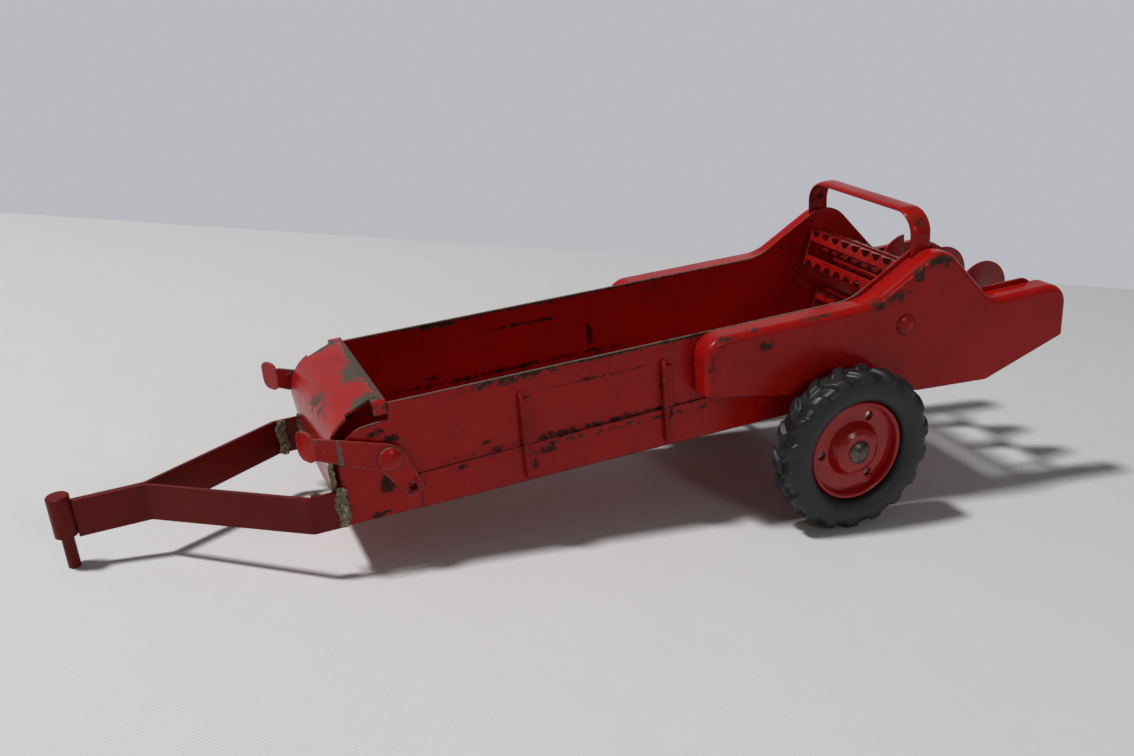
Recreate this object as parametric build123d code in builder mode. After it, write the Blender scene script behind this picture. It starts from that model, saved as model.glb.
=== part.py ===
from build123d import *
from math import asin, atan2, cos, degrees, hypot, pi, radians, sin
import os

# A towed toy manure spreader in pressed sheet steel, in millimetres.
# It is drawn level about the middle of its axle: +X towards the hitch, +Y to its left, +Z up.
# What comes in pairs is drawn on the left and mirrored, except the levers, which are one stamping.
# At the end every piece is turned nose down until the hitch pin meets the ground, as it parks.

# Sheet and the clearances between pieces
sheet = 0.9
running = 0.05
seam = 0.3

# Box and floor
box_width = 67.4
floor_bottom = 9.8
wall_top = 50.3
wall_front = 186.5
wall_rear = -100.0
floor_rear = -60.0

# Front corner of each wall, stepped down for the panel's tab
corner_reach = 18.5
corner_drop = 5.9
corner_slope = 1.4
corner_bend = 12.0

# Crest and tail at the rear of each side wall
crest_start = -12.0
crest_x = -48.1
crest_rise = 19.5
crest_bend = 13.0
crest_sweep = 20.0
tail_front = -72.0
tail_drop = 7.0
tail_bend = 8.0
tail_corner = 6.0
foot_corner = 4.0
keel_x = -71.0
tail_foot_rise = 7.7

# Sill, rolled edge and sunk panel pressed into each wall
sill_front = 160.0
sill_height = 12.9
sill_slope = 0.021
sill_step = 0.6
sill_rear = -20.0
hem_height = 2.8
hem_step = 0.25
label_front = 117.0
label_rear = 69.0
label_top = 7.8
label_depth = 0.3

# Curved front panel
panel_nose = 3.7
panel_shoulder = 6.3
panel_bend = 15.0
panel_crown = 15.0
panel_rise = 1.3
panel_reach = 18.4
panel_lip = 3.0
notch_front = 5.5
notch_depth = 2.4
tab_length = 4.6
tab_drop = 4.6

# Fenders over the wheels, drawn deep, open along the foot
fender_depth = 9.4
fender_front = 55.2
fender_front_rise = 19.4
fender_drop = 2.0
fender_edge = 2.6
fender_corner = 8.5
fender_crest_bend = 11.0
fender_tail_bend = 10.0
fender_end_bend = 9.0
fender_tail = -110.0
fender_tail_rise = 10.2
fender_keel = 1.8
fender_waist = -38.0
fender_waist_rise = 1.0
rivet_x = -30.8
rivet_z = 39.6
rivet_radius = 4.2
rivet_height = 1.5
rivet_shank = 1.5
rivet_clinch = 2.4
clinch_height = 0.8

# Carrying handle
handle_width = 9.0
handle_sheet = 1.6
handle_x = -43.0
handle_top = 80.0
handle_foot = 52.0
handle_bend = 9.0

# Stakes on the side walls
stake_front = 121.8
stake_rear = 67.2
stake_lift = 2.0
stake_height = 32.0
stake_leg = 3.2
stake_bevel = 2.6

# Levers
lever_x = 169.4
lever_z = 31.2
lever_sheet = 1.0
lever_gap = 0.9
lever_boss = 5.0
lever_head = 4.4
lever_head_height = 1.6
lever_reach = 23.8
lever_lift = 9.0
lever_arm = 7.4
lever_tail_x = -6.4
lever_tail_z = -12.0
lever_tail_radius = 3.6
lever_rod_hole = 1.35
lever_pad = 9.0
lever_pad_height = 10.5
lever_pad_corner = 3.4
lever_pad_angle = 64.0

# Drawbar, hitch tube and pin
bar_sheet = 1.3
bar_height = 13.2
bar_bottom = 10.4
bar_gap = 0.9
bar_straight = 10.2
bar_nose = 23.6
bar_rise = 2.8
bar_bend = 3.0
tube_x = 273.4
tube_radius = 3.8
tube_bottom = 14.5
tube_top = 28.0
pin_radius = 2.05
pin_shoulder = 0.3
pin_tip = 2.5
pin_head = 1.0
braze = 2.8

# Axle and wheels
axle_radius = 1.9
axle_head_radius = 4.5
axle_head = 1.7
axle_collar = 2.8
collar_width = 1.0
axle_play = 0.2
tyre_gap = 3.2
rim_half = 4.1
rim_radius = 19.5
rim_sheet = 1.1
rim_barrel = 18.3
hub_foot = 11.0
hub_face = 8.2
hub_half = 5.3
hub_bend = 1.2
rim_bend = 0.5
disc_hole = 1.8
disc_hole_circle = 13.6
disc_holes = 3
hanger_length = 18.0
hanger_half = 28.0
hanger_drop = 14.8

# Tyres with two rows of slanting lugs
tyre_radius = 31.75
tread_radius = 29.9
tyre_half = 7.0
bead_height = 0.6
bead_half = 4.9
side_height = 4.8
side_flats = 4
shoulder = 1.1
shoulder_half = 5.4
lug_count = 18
lug_width = 3.6
lug_slant = 36.0
lug_root = 0.8
lug_start = 0.4
lug_round = 1.2

# Rotors at the rear
shaft_radius = 1.2
shaft_end = 36.5
upper_x = -43.2
upper_z = 49.0
lower_x = -46.0
lower_z = 22.5
auger_x = -84.6
auger_z = 30.4
rotor_gap = 1.6
reel_side = 15.0
reel_leg = 4.45
reel_turn = 17.0
tooth_hole = 2.4
tooth_pitch = 6.9
tooth_count = 9
tooth_sides = 12
auger_radius = 18.3
auger_pitch = 25.0
auger_length = 58.0

wall_out = box_width / 2
wall_in = wall_out - sheet
face_out = wall_out + fender_depth
wheel_middle = face_out + tyre_gap + tyre_half
step_x = wall_front - corner_reach
crest_z = wall_top + crest_rise
tail_top = wall_top - tail_drop
sill_top = floor_bottom + sill_height
rotors = ((upper_x, upper_z), (lower_x, lower_z), (auger_x, auger_z))

pieces = {}


def upright(y):
    """Upright plane this far to the left, with X to the right in it and Z up; -Y is its front."""
    return Plane.XZ.offset(-y)


def turned(x, y, z):
    """Plane through a cross axis, with the distance from the axis in it and Y up from a middle."""
    return Plane(origin=(x, y, z), x_dir=(1, 0, 0), z_dir=(0, 0, 1))


def cross_axis(x, z):
    """Line across the machine."""
    return Axis((x, 0, z), (0, 1, 0))


def dome(radius, height, seat):
    """Arc of a ball from the rim of a domed head to its middle, centred on the axis."""
    ball = (radius**2 + height**2) / (2 * height)
    reach = degrees(asin(radius / ball))
    return CenterArc((0, seat + height - ball), ball, 90 - reach, reach)


def sill_level(x):
    """Height of the sill's edge, which climbs a little to the rear."""
    return sill_top + (sill_front - x) * sill_slope


# Side wall: sheet with a crest, a sill stepped out along its foot, a rolled edge and a sunk panel
with BuildPart() as side_wall:
    with BuildSketch(upright(wall_out)):
        with BuildLine():
            FilletPolyline(
                (wall_front, floor_bottom),
                (wall_front, wall_top - corner_drop - corner_slope),
                (step_x, wall_top - corner_drop),
                (step_x, wall_top),
                (crest_start, wall_top),
                (crest_x, crest_z),
                (tail_front, tail_top),
                (wall_rear, tail_top),
                (wall_rear, floor_bottom + tail_foot_rise),
                (keel_x, floor_bottom),
                radius=[seam, corner_bend, seam, seam]
                + [crest_sweep, crest_bend, tail_bend, tail_corner, foot_corner, foot_corner],
                close=True,
            )
        make_face()
        with Locations(*rotors):
            Circle(shaft_radius + running, mode=Mode.SUBTRACT)
        with Locations((rivet_x, rivet_z), (lever_x, lever_z)):
            Circle(rivet_shank + running, mode=Mode.SUBTRACT)
    extrude(amount=sheet)
    with BuildSketch(upright(wall_out)):
        with BuildLine():
            Polyline(
                (sill_front, floor_bottom),
                (sill_front, sill_top),
                (sill_rear, sill_level(sill_rear)),
                (sill_rear, floor_bottom),
                close=True,
            )
        make_face()
    extrude(amount=-sill_step)
    lip = side_wall.faces().sort_by(Axis.Y)[-1].edges().sort_by(Axis.Z)[-1]
    fillet(lip, radius=sill_step / 2)
    with BuildSketch(upright(wall_out)):
        with Locations(((step_x + fender_front) / 2, wall_top - hem_height / 2)):
            Rectangle(step_x - fender_front - 2 * seam, hem_height)
    extrude(amount=-hem_step)
    with BuildSketch(upright(wall_out)):
        with BuildLine():
            Polyline(
                (label_front, sill_level(label_front) + seam),
                (label_front, wall_top - label_top),
                (label_rear, wall_top - label_top),
                (label_rear, sill_level(label_rear) + seam),
                close=True,
            )
        make_face()
    extrude(amount=label_depth, mode=Mode.SUBTRACT)
pieces["side_wall_left"] = side_wall

# Fender: a flat face and a flange turned in round its top and ends, cut off along its foot
foot_line = [
    (fender_front + seam, floor_bottom + fender_front_rise),
    (fender_waist, floor_bottom + fender_waist_rise),
    (keel_x, floor_bottom - fender_keel),
    (fender_tail - seam, floor_bottom + fender_tail_rise),
]
below = floor_bottom - 3 * fender_depth
with BuildPart() as fender:
    with BuildSketch(upright(wall_out)):
        with BuildLine():
            FilletPolyline(
                (fender_front, below),
                (fender_front, wall_top),
                (crest_start - 2 * fender_drop, wall_top),
                (crest_x, crest_z - fender_drop),
                (tail_front, tail_top - fender_drop),
                (fender_tail, tail_top - fender_drop),
                (fender_tail, below),
                radius=[2 * sheet, fender_corner, crest_sweep]
                + [fender_crest_bend, fender_tail_bend, fender_end_bend, 2 * sheet],
                close=True,
            )
        make_face()
    extrude(amount=-fender_depth)
    fillet(fender.faces().sort_by(Axis.Y)[-1].edges(), radius=fender_edge)
    offset(amount=-sheet, openings=fender.faces().sort_by(Axis.Y)[0])
    with BuildSketch(upright(wall_out)):
        with BuildLine():
            Polyline(
                *foot_line,
                (fender_tail - seam, below - sheet),
                (fender_front + seam, below - sheet),
                close=True,
            )
        make_face()
    extrude(amount=-2 * fender_depth, mode=Mode.SUBTRACT)
    with BuildSketch(upright(wall_out)):
        with Locations((handle_x, handle_top)):
            Rectangle(handle_width + 2 * seam, 2 * (handle_top - handle_foot))
    extrude(amount=-(handle_sheet + seam), mode=Mode.SUBTRACT)
    with BuildSketch(upright(wall_out)):
        with Locations((rivet_x, rivet_z)):
            Circle(rivet_shank + running)
    extrude(amount=-2 * fender_depth, mode=Mode.SUBTRACT)
pieces["fender_left"] = fender


def rivet(name, x, z, seat, radius, height):
    """Rivet through the side wall, with a domed head that stands this far out from the middle."""
    with BuildPart() as one:
        with BuildSketch(turned(x, 0, z)):
            with BuildLine():
                Polyline(
                    (0, wall_in - clinch_height),
                    (rivet_clinch, wall_in - clinch_height),
                    (rivet_clinch, wall_in),
                    (rivet_shank, wall_in),
                    (rivet_shank, seat),
                    (radius, seat),
                )
                dome(radius, height, seat)
                Line((0, seat + height), (0, wall_in - clinch_height))
            make_face()
        revolve(axis=cross_axis(x, z))
    pieces[name] = one


def stake(name, x):
    """Flange that stands out from the wall, over the sill, with a leg laid on the wall behind it."""
    foot = floor_bottom + stake_lift
    top = foot + stake_height
    ledge = sill_level(x) + seam
    with BuildPart() as flange:
        with BuildSketch(Plane.YZ.offset(x)):
            with BuildLine():
                Polyline(
                    (wall_out + sill_step, foot),
                    (wall_out + stake_leg, foot),
                    (wall_out + stake_leg, top - stake_bevel),
                    (wall_out + stake_leg - stake_bevel, top),
                    (wall_out, top),
                    (wall_out, ledge),
                    (wall_out + sill_step, ledge),
                    close=True,
                )
            make_face()
        extrude(amount=sheet)
        with BuildSketch(upright(wall_out)):
            with BuildLine():
                Polyline(
                    (x, ledge),
                    (x - stake_leg, ledge),
                    (x - stake_leg, top - stake_bevel),
                    (x, top - stake_bevel),
                    close=True,
                )
            make_face()
        extrude(amount=-sheet)
    pieces[name] = flange


rivet("fender_rivet_left", rivet_x, rivet_z, face_out, rivet_radius, rivet_height)
lever_seat = wall_out + lever_gap + lever_sheet + seam
rivet("lever_rivet_left", lever_x, lever_z, lever_seat, lever_head, lever_head_height)
stake("stake_front_left", stake_front)
stake("stake_rear_left", stake_rear)

# Drawbar strip on edge from the box to the hitch: spread at the rear, laid on its twin in front
bar_end = wall_front + bar_gap
bar_turn = bar_end + bar_straight
bar_front = tube_x - tube_radius
bar_join = bar_front - bar_nose
with BuildPart() as drawbar:
    with BuildSketch(Plane.XY):
        with BuildLine():
            FilletPolyline(
                (bar_end, wall_out + seam + bar_sheet / 2),
                (bar_turn, wall_out + seam + bar_sheet / 2),
                (bar_join, bar_sheet / 2),
                (bar_front, bar_sheet / 2),
                radius=bar_bend,
            )
        trace(line_width=bar_sheet)
    extrude(amount=tube_top)
    with BuildSketch(Plane.XZ):
        with BuildLine():
            FilletPolyline(
                (bar_end - braze, bar_bottom),
                (bar_turn, bar_bottom),
                (bar_join, bar_bottom + bar_rise),
                (bar_front + braze, bar_bottom + bar_rise),
                (bar_front + braze, bar_bottom + bar_rise + bar_height),
                (bar_join, bar_bottom + bar_rise + bar_height),
                (bar_turn, bar_bottom + bar_height),
                (bar_end - braze, bar_bottom + bar_height),
                radius=seam,
                close=True,
            )
        make_face()
    extrude(amount=box_width, both=True, mode=Mode.INTERSECT)
pieces["drawbar_left"] = drawbar

# Bead of braze between the drawbar's end and the wall
with BuildPart() as bead:
    with BuildSketch(Plane.XY.offset(bar_bottom)):
        with Locations((bar_end - braze / 2, wall_out + (bar_sheet + seam) / 2)):
            RectangleRounded(braze, bar_sheet + seam, seam)
    extrude(amount=bar_height + 1)
pieces["braze_left"] = bead

# Wheel: two pressings back to back, with a raised hub, a flat disc and a rolled lip
hub_slope = (hub_half - rim_sheet) / (hub_foot - hub_face)
with BuildPart() as wheel:
    with BuildSketch(turned(0, wheel_middle, 0)):
        with BuildLine():
            Polyline(
                (axle_radius + running, 0),
                (axle_radius + running, hub_half),
                (hub_face - hub_bend, hub_half),
                (hub_face + hub_bend / 2, hub_half - hub_slope * hub_bend / 2),
                (hub_foot, rim_sheet),
                (rim_barrel - rim_sheet, rim_sheet),
                (rim_barrel - rim_sheet / 2, rim_half - rim_bend),
                (rim_barrel - rim_sheet / 2 + rim_bend, rim_half),
                (rim_radius - rim_bend, rim_half),
                (rim_radius, rim_half - rim_bend),
                (rim_radius, rim_half - rim_sheet),
                (rim_barrel, rim_half - 2 * rim_sheet),
                (rim_barrel, 0),
                close=True,
            )
        make_face()
        mirror(about=Plane.XZ)
    revolve(axis=cross_axis(0, 0))
    with BuildSketch(upright(wheel_middle)):
        with PolarLocations(disc_hole_circle, disc_holes):
            Circle(disc_hole)
    extrude(amount=rim_half, both=True, mode=Mode.SUBTRACT)
pieces["wheel_left"] = wheel

# Tyre: solid rubber, full at the sides, with two staggered rows of lugs that slant to the middle
tyre_seat = rim_barrel + running
bead_radius = rim_radius + bead_height
with BuildPart() as tyre:
    with BuildSketch(turned(0, wheel_middle, 0)):
        with BuildLine():
            side = ThreePointArc(
                (bead_radius, bead_half),
                (bead_radius + side_height, tyre_half - running),
                (tread_radius - shoulder, shoulder_half + shoulder),
                mode=Mode.PRIVATE,
            )
            Polyline(
                (tyre_seat, 0),
                (tyre_seat, rim_half - 2 * rim_sheet),
                (rim_radius + running, rim_half - rim_sheet - running),
                *[side @ (k / side_flats) for k in range(side_flats + 1)],
                (tread_radius, shoulder_half),
                (tread_radius, 0),
                close=True,
            )
        make_face()
        mirror(about=Plane.XZ)
    revolve(axis=cross_axis(0, 0))
    lug_reach = tyre_half / cos(radians(lug_slant))
    for row in (1, -1):
        turns = [2 * pi * (k + row / 4) / lug_count for k in range(lug_count)]
        planes = [
            Plane(
                origin=(
                    (tread_radius - lug_root) * cos(turn),
                    wheel_middle,
                    (tread_radius - lug_root) * sin(turn),
                ),
                x_dir=(0, 1, 0),
                z_dir=(cos(turn), 0, sin(turn)),
            )
            for turn in turns
        ]
        with BuildSketch(*planes):
            with Locations((row * (lug_start + tyre_half) / 2, 0)):
                Rectangle(lug_reach, lug_width, rotation=row * lug_slant)
        extrude(amount=tyre_radius - tread_radius + 2 * lug_root)
    with BuildSketch(turned(0, wheel_middle, 0)):
        with BuildLine():
            Polyline(
                (rim_barrel, 0),
                (rim_barrel, tyre_half),
                (tyre_radius - lug_round, tyre_half),
                (tyre_radius, tyre_half - lug_round),
                (tyre_radius, 0),
                close=True,
            )
        make_face()
        mirror(about=Plane.XZ)
    revolve(axis=cross_axis(0, 0), mode=Mode.INTERSECT)
pieces["tyre_left"] = tyre

# The right-hand pieces are the left-hand ones mirrored
for name, piece in list(pieces.items()):
    with BuildPart() as twin:
        mirror(piece.part, about=Plane.XZ)
    pieces[name.replace("left", "right")] = twin


def lever(name, out):
    """Bell crank with a pad bent over at its front end and a rod hole at its lower end."""
    middle = out * (wall_out + lever_gap + lever_sheet / 2)
    reach_x = lever_x + lever_reach
    reach_z = lever_z + lever_lift
    bend = radians(lever_pad_angle)
    pad_plane = Plane(
        origin=(reach_x, middle, reach_z),
        x_dir=(cos(bend), -sin(bend), 0),
        z_dir=(-sin(bend), -cos(bend), 0),
    )
    with BuildPart() as crank:
        with BuildSketch(upright(middle)):
            with Locations((lever_x, lever_z)):
                Circle(lever_boss)
            with Locations((reach_x - lever_sheet / 2, reach_z)):
                Rectangle(lever_sheet, lever_arm)
            make_hull()
        with BuildSketch(upright(middle)):
            with Locations((lever_x, lever_z)):
                Circle(lever_boss)
            with Locations((lever_x + lever_tail_x, lever_z + lever_tail_z)):
                Circle(lever_tail_radius)
            make_hull()
        extrude(amount=lever_sheet / 2, both=True)
        with Locations((reach_x, middle, reach_z)):
            Cylinder(radius=lever_sheet / 2, height=lever_arm)
        with BuildSketch(pad_plane):
            with Locations((lever_pad / 2, 0)):
                RectangleRounded(lever_pad, lever_pad_height, lever_pad_corner)
        extrude(amount=lever_sheet / 2, both=True)
        with BuildSketch(upright(middle)):
            with Locations((lever_x, lever_z)):
                Circle(rivet_shank + running)
            with Locations((lever_x + lever_tail_x, lever_z + lever_tail_z)):
                Circle(lever_rod_hole)
        extrude(amount=lever_sheet, both=True, mode=Mode.SUBTRACT)
    pieces[name] = crank


lever("lever_left", 1)
lever("lever_right", -1)

# Front panel: leans out from the floor's edge, rolled back over the top, with a tab over each wall
panel_top = wall_top + panel_rise
with BuildPart() as front_panel:
    with BuildSketch(Plane.XZ):
        with BuildLine():
            FilletPolyline(
                (wall_front - sheet / 2, floor_bottom),
                (wall_front + panel_nose, wall_top - panel_shoulder),
                (wall_front - panel_crown, panel_top),
                (wall_front - panel_reach, panel_top - seam),
                radius=[panel_bend, panel_lip],
            )
        trace(line_width=sheet)
    extrude(amount=wall_in, both=True)
    with BuildSketch(Plane.XY.offset(wall_top - 2 * panel_shoulder)):
        with Locations((wall_front - panel_reach + tab_length + (corner_bend - notch_front) / 2, 0)):
            with GridLocations(0, 2 * wall_in, 1, 2):
                Rectangle(corner_bend - notch_front + tab_length, 2 * notch_depth)
    extrude(amount=4 * panel_shoulder, mode=Mode.SUBTRACT)
    with BuildSketch(Plane.YZ.offset(wall_front - panel_reach)):
        with BuildLine():
            FilletPolyline(
                (wall_in - 2 * notch_depth, panel_top - seam),
                (wall_out + seam / 2 + sheet / 2, panel_top - seam),
                (wall_out + seam / 2 + sheet / 2, panel_top - tab_drop),
                radius=sheet,
            )
        trace(line_width=sheet)
    extrude(amount=tab_length)
    mirror(about=Plane.XZ)
pieces["front_panel"] = front_panel

# Floor between the walls and the foot of the panel
floor_front = wall_front - sheet
with BuildPart() as floor:
    with BuildSketch(Plane.XY.offset(floor_bottom)):
        with Locations(((floor_front + floor_rear) / 2, 0)):
            Rectangle(floor_front - floor_rear, 2 * wall_in)
    extrude(amount=sheet)
pieces["floor"] = floor

# Carrying handle: one strip bent into an arch over the box, with its feet outside the walls
handle_half = wall_out + handle_sheet / 2
with BuildPart() as handle:
    with BuildSketch(Plane.YZ.offset(handle_x)):
        with BuildLine():
            FilletPolyline(
                (-handle_half, handle_foot),
                (-handle_half, handle_top - handle_sheet / 2),
                (handle_half, handle_top - handle_sheet / 2),
                (handle_half, handle_foot),
                radius=handle_bend,
            )
        trace(line_width=handle_sheet)
    extrude(amount=handle_width / 2, both=True)
pieces["handle"] = handle

# Hitch tube and the shouldered pin that is driven through it
with BuildPart() as hitch_tube:
    with BuildSketch(Plane.XY.offset(tube_bottom)):
        with Locations((tube_x, 0)):
            Circle(tube_radius)
            Circle(pin_radius + pin_shoulder + running, mode=Mode.SUBTRACT)
    extrude(amount=tube_top - tube_bottom)
pieces["hitch_tube"] = hitch_tube

with BuildPart() as hitch_pin:
    with BuildSketch(Plane.XY.offset(pin_tip)):
        with Locations((tube_x, 0)):
            Circle(pin_radius)
    extrude(amount=tube_bottom - pin_tip)
    with BuildSketch(Plane.XY.offset(tube_bottom)):
        with Locations((tube_x, 0)):
            Circle(pin_radius + pin_shoulder)
    extrude(amount=tube_top - tube_bottom)
    with BuildSketch(Plane.XY.offset(tube_top)):
        with Locations((tube_x, 0)):
            Circle(tube_radius)
    extrude(amount=pin_head)
    chamfer(hitch_pin.edges().sort_by(Axis.Z)[-1], length=pin_head / 3)
pieces["hitch_pin"] = hitch_pin

# Axle with a domed head at each end and a collar inside each wheel
hub_out = wheel_middle + hub_half + axle_play
hub_in = wheel_middle - hub_half - axle_play
with BuildPart() as axle:
    with BuildSketch(turned(0, 0, 0)):
        with BuildLine():
            Polyline(
                (0, 0),
                (axle_radius, 0),
                (axle_radius, hub_in - collar_width),
                (axle_collar, hub_in - collar_width),
                (axle_collar, hub_in),
                (axle_radius, hub_in),
                (axle_radius, hub_out),
                (axle_head_radius, hub_out),
            )
            dome(axle_head_radius, axle_head, hub_out)
            Line((0, hub_out + axle_head), (0, 0))
        make_face()
    revolve(axis=cross_axis(0, 0))
    mirror(about=Plane.XZ)
pieces["axle"] = axle

# Hanger under the floor whose two ears hold the axle
hanger_foot = floor_bottom - hanger_drop
with BuildPart() as hanger:
    with BuildSketch(Plane.YZ.offset(-hanger_length / 2)):
        with BuildLine():
            Polyline(
                (-hanger_half, hanger_foot),
                (-hanger_half, floor_bottom),
                (hanger_half, floor_bottom),
                (hanger_half, hanger_foot),
                (hanger_half - sheet, hanger_foot),
                (hanger_half - sheet, floor_bottom - sheet),
                (sheet - hanger_half, floor_bottom - sheet),
                (sheet - hanger_half, hanger_foot),
                close=True,
            )
        make_face()
    extrude(amount=hanger_length)
    with BuildSketch(Plane.XZ):
        Circle(axle_radius + running)
    extrude(amount=hanger_half, both=True, mode=Mode.SUBTRACT)
pieces["axle_hanger"] = hanger


def reel(name, x, z):
    """Beater: four angle bars between two square ends, punched along each fold to leave teeth."""
    half = wall_in - rotor_gap
    turns = [2 * pi * k / tooth_sides for k in range(tooth_sides)]
    hole = [(tooth_hole * cos(turn), tooth_hole * cos(pi / 4) * sin(turn)) for turn in turns]
    with BuildPart() as body:
        with BuildSketch(upright(half)):
            with Locations(Location((x, z), reel_turn)):
                Rectangle(reel_side, reel_side)
                Rectangle(reel_side - 2 * sheet, reel_side - 2 * sheet, mode=Mode.SUBTRACT)
                Rectangle(reel_side, reel_side - 2 * reel_leg, mode=Mode.SUBTRACT)
                Rectangle(reel_side - 2 * reel_leg, reel_side, mode=Mode.SUBTRACT)
        extrude(amount=2 * half)
        for corner in (0, 1):
            fold = radians(reel_turn + 45 + 90 * corner)
            across = Plane(origin=(x, 0, z), x_dir=(0, 1, 0), z_dir=(cos(fold), 0, sin(fold)))
            with BuildSketch(across):
                with GridLocations(tooth_pitch, 0, tooth_count, 1):
                    Polygon(*hole)
            extrude(amount=reel_side, both=True, mode=Mode.SUBTRACT)
        with BuildSketch(upright(half), upright(sheet - half)):
            with Locations(Location((x, z), reel_turn)):
                Rectangle(reel_side, reel_side)
                Circle(shaft_radius, mode=Mode.SUBTRACT)
        extrude(amount=sheet)
    pieces[name] = body


def shaft(name, x, z):
    """Plain shaft across the box that turns in both side walls."""
    with BuildPart() as rod:
        with BuildSketch(upright(shaft_end)):
            with Locations((x, z)):
                Circle(shaft_radius)
        extrude(amount=2 * shaft_end)
    pieces[name] = rod


reel("upper_beater", upper_x, upper_z)
reel("lower_beater", lower_x, lower_z)
shaft("upper_shaft", upper_x, upper_z)
shaft("lower_shaft", lower_x, lower_z)
shaft("auger_shaft", auger_x, auger_z)

# Spreading auger: one flight that winds round its shaft
auger_bore = shaft_radius + running
auger_foot = Vector(auger_x, -auger_length / 2, auger_z)
with BuildPart() as auger:
    with BuildLine() as coil:
        Helix(
            pitch=auger_pitch,
            height=auger_length,
            radius=(auger_radius + auger_bore) / 2,
            center=auger_foot,
            direction=(0, 1, 0),
        )
    start = coil.line @ 0
    with BuildSketch(Plane(origin=start, x_dir=start - auger_foot, z_dir=coil.line % 0)):
        Rectangle(auger_radius - auger_bore, sheet)
    sweep(path=coil.line, is_frenet=True)
pieces["spread_auger"] = auger

# Nose down about the axle until the hitch pin stands on the ground
pin_front = tube_x + pin_radius
nose_down = atan2(pin_tip, pin_front) + asin(tyre_radius / hypot(pin_front, pin_tip))
parked = Location((0, 0, tyre_radius), (0, degrees(nose_down), 0))
for piece in pieces.values():
    piece.part = piece.part.moved(parked)
boxes = [piece.part.bounding_box() for piece in pieces.values()]
centre_x = (min(box.min.X for box in boxes) + max(box.max.X for box in boxes)) / 2
centred = Location((-centre_x, 0, 0))

os.makedirs("parts", exist_ok=True)
for name, piece in pieces.items():
    piece.part = piece.part.moved(centred)
    piece.part.label = name
    export_step(piece.part, f"parts/{name}.step")
print("nose down", degrees(nose_down), "degrees; axle at", -centre_x, 0, tyre_radius)
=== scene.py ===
import math
import bpy
import numpy as np
from mathutils import Matrix, Vector


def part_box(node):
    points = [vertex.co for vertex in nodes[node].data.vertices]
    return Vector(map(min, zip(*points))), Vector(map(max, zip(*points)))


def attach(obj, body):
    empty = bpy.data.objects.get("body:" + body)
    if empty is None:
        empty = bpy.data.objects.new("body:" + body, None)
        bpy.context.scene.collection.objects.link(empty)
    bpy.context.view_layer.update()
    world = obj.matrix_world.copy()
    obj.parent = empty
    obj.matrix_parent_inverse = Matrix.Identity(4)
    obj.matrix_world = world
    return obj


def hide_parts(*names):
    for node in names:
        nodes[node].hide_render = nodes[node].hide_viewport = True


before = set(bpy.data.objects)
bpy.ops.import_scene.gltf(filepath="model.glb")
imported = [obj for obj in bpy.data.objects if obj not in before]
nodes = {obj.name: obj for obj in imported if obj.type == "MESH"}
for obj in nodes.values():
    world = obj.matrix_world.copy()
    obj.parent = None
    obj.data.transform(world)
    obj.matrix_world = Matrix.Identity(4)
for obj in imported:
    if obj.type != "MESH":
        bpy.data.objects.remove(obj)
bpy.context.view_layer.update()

# A towed toy spreader in pressed steel, about 385 mm long, old and played with.
# Patterns are drawn in millimetres about the axle, level with the box floor.
mm = 0.001
noseDown = math.radians(7.1387)  # the box leans on its hitch pin
axleLow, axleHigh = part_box("axle")
axleCentre = (axleLow + axleHigh) / 2
lookSamples = 6  # rays a point sends out for rounded edges and crevices
print("frame loaded,", len(nodes), "nodes")


# sRGB hex to linear: a share under 0.04045 is divided by 12.92, the rest is bent by the power 2.4.
def hexLinear(text):
    share = np.array([int(text[k:k + 2], 16) for k in (1, 3, 5)]) / 255
    linear = np.where(share <= 0.04045, share / 12.92, ((share + 0.055) / 1.055) ** 2.4)
    return (*linear.tolist(), 1.0)


# Adds one node; an input is a value, or the socket that feeds it.
def addNode(tree, kind, inputs=None, **settings):
    node = tree.nodes.new(kind)
    for name, value in settings.items():
        setattr(node, name, value)
    for name, value in (inputs or {}).items():
        if isinstance(value, bpy.types.NodeSocket):
            tree.links.new(value, node.inputs[name])
        else:
            node.inputs[name].default_value = value
    return node


# An empty node material with its output and the place on the toy in millimetres.
def newMaterial(name):
    material = bpy.data.materials.new(name)
    material.use_nodes = True
    tree = material.node_tree
    tree.nodes.clear()
    spot = addNode(tree, "ShaderNodeTexCoord").outputs["Object"]
    place = addNode(tree, "ShaderNodeMapping", {
        "Vector": spot,
        "Location": axleCentre,
        "Rotation": (0, noseDown, 0),
        "Scale": (mm, mm, mm),
    }, vector_type="TEXTURE").outputs[0]
    return material, tree, place


# How far inside any of the marks a point is: 1 at a mark's centre, 0 at its reach.
def spots(tree, place, marks):
    total = None
    for centre, reach, strength in marks:
        offset = addNode(tree, "ShaderNodeVectorMath", {0: place, 1: centre}, operation="SUBTRACT")
        ratio = addNode(tree, "ShaderNodeVectorMath", {0: offset.outputs[0], 1: reach}, operation="DIVIDE")
        far = addNode(tree, "ShaderNodeVectorMath", {0: ratio.outputs[0]}, operation="LENGTH")
        inside = addNode(tree, "ShaderNodeMapRange", {
            "Value": far.outputs["Value"], "From Min": 1.0, "From Max": 0.25, "To Max": strength,
        }).outputs[0]
        if total is None:
            total = inside
        else:
            total = addNode(tree, "ShaderNodeMath", {0: total, 1: inside}, operation="MAXIMUM").outputs[0]
    return total


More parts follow.
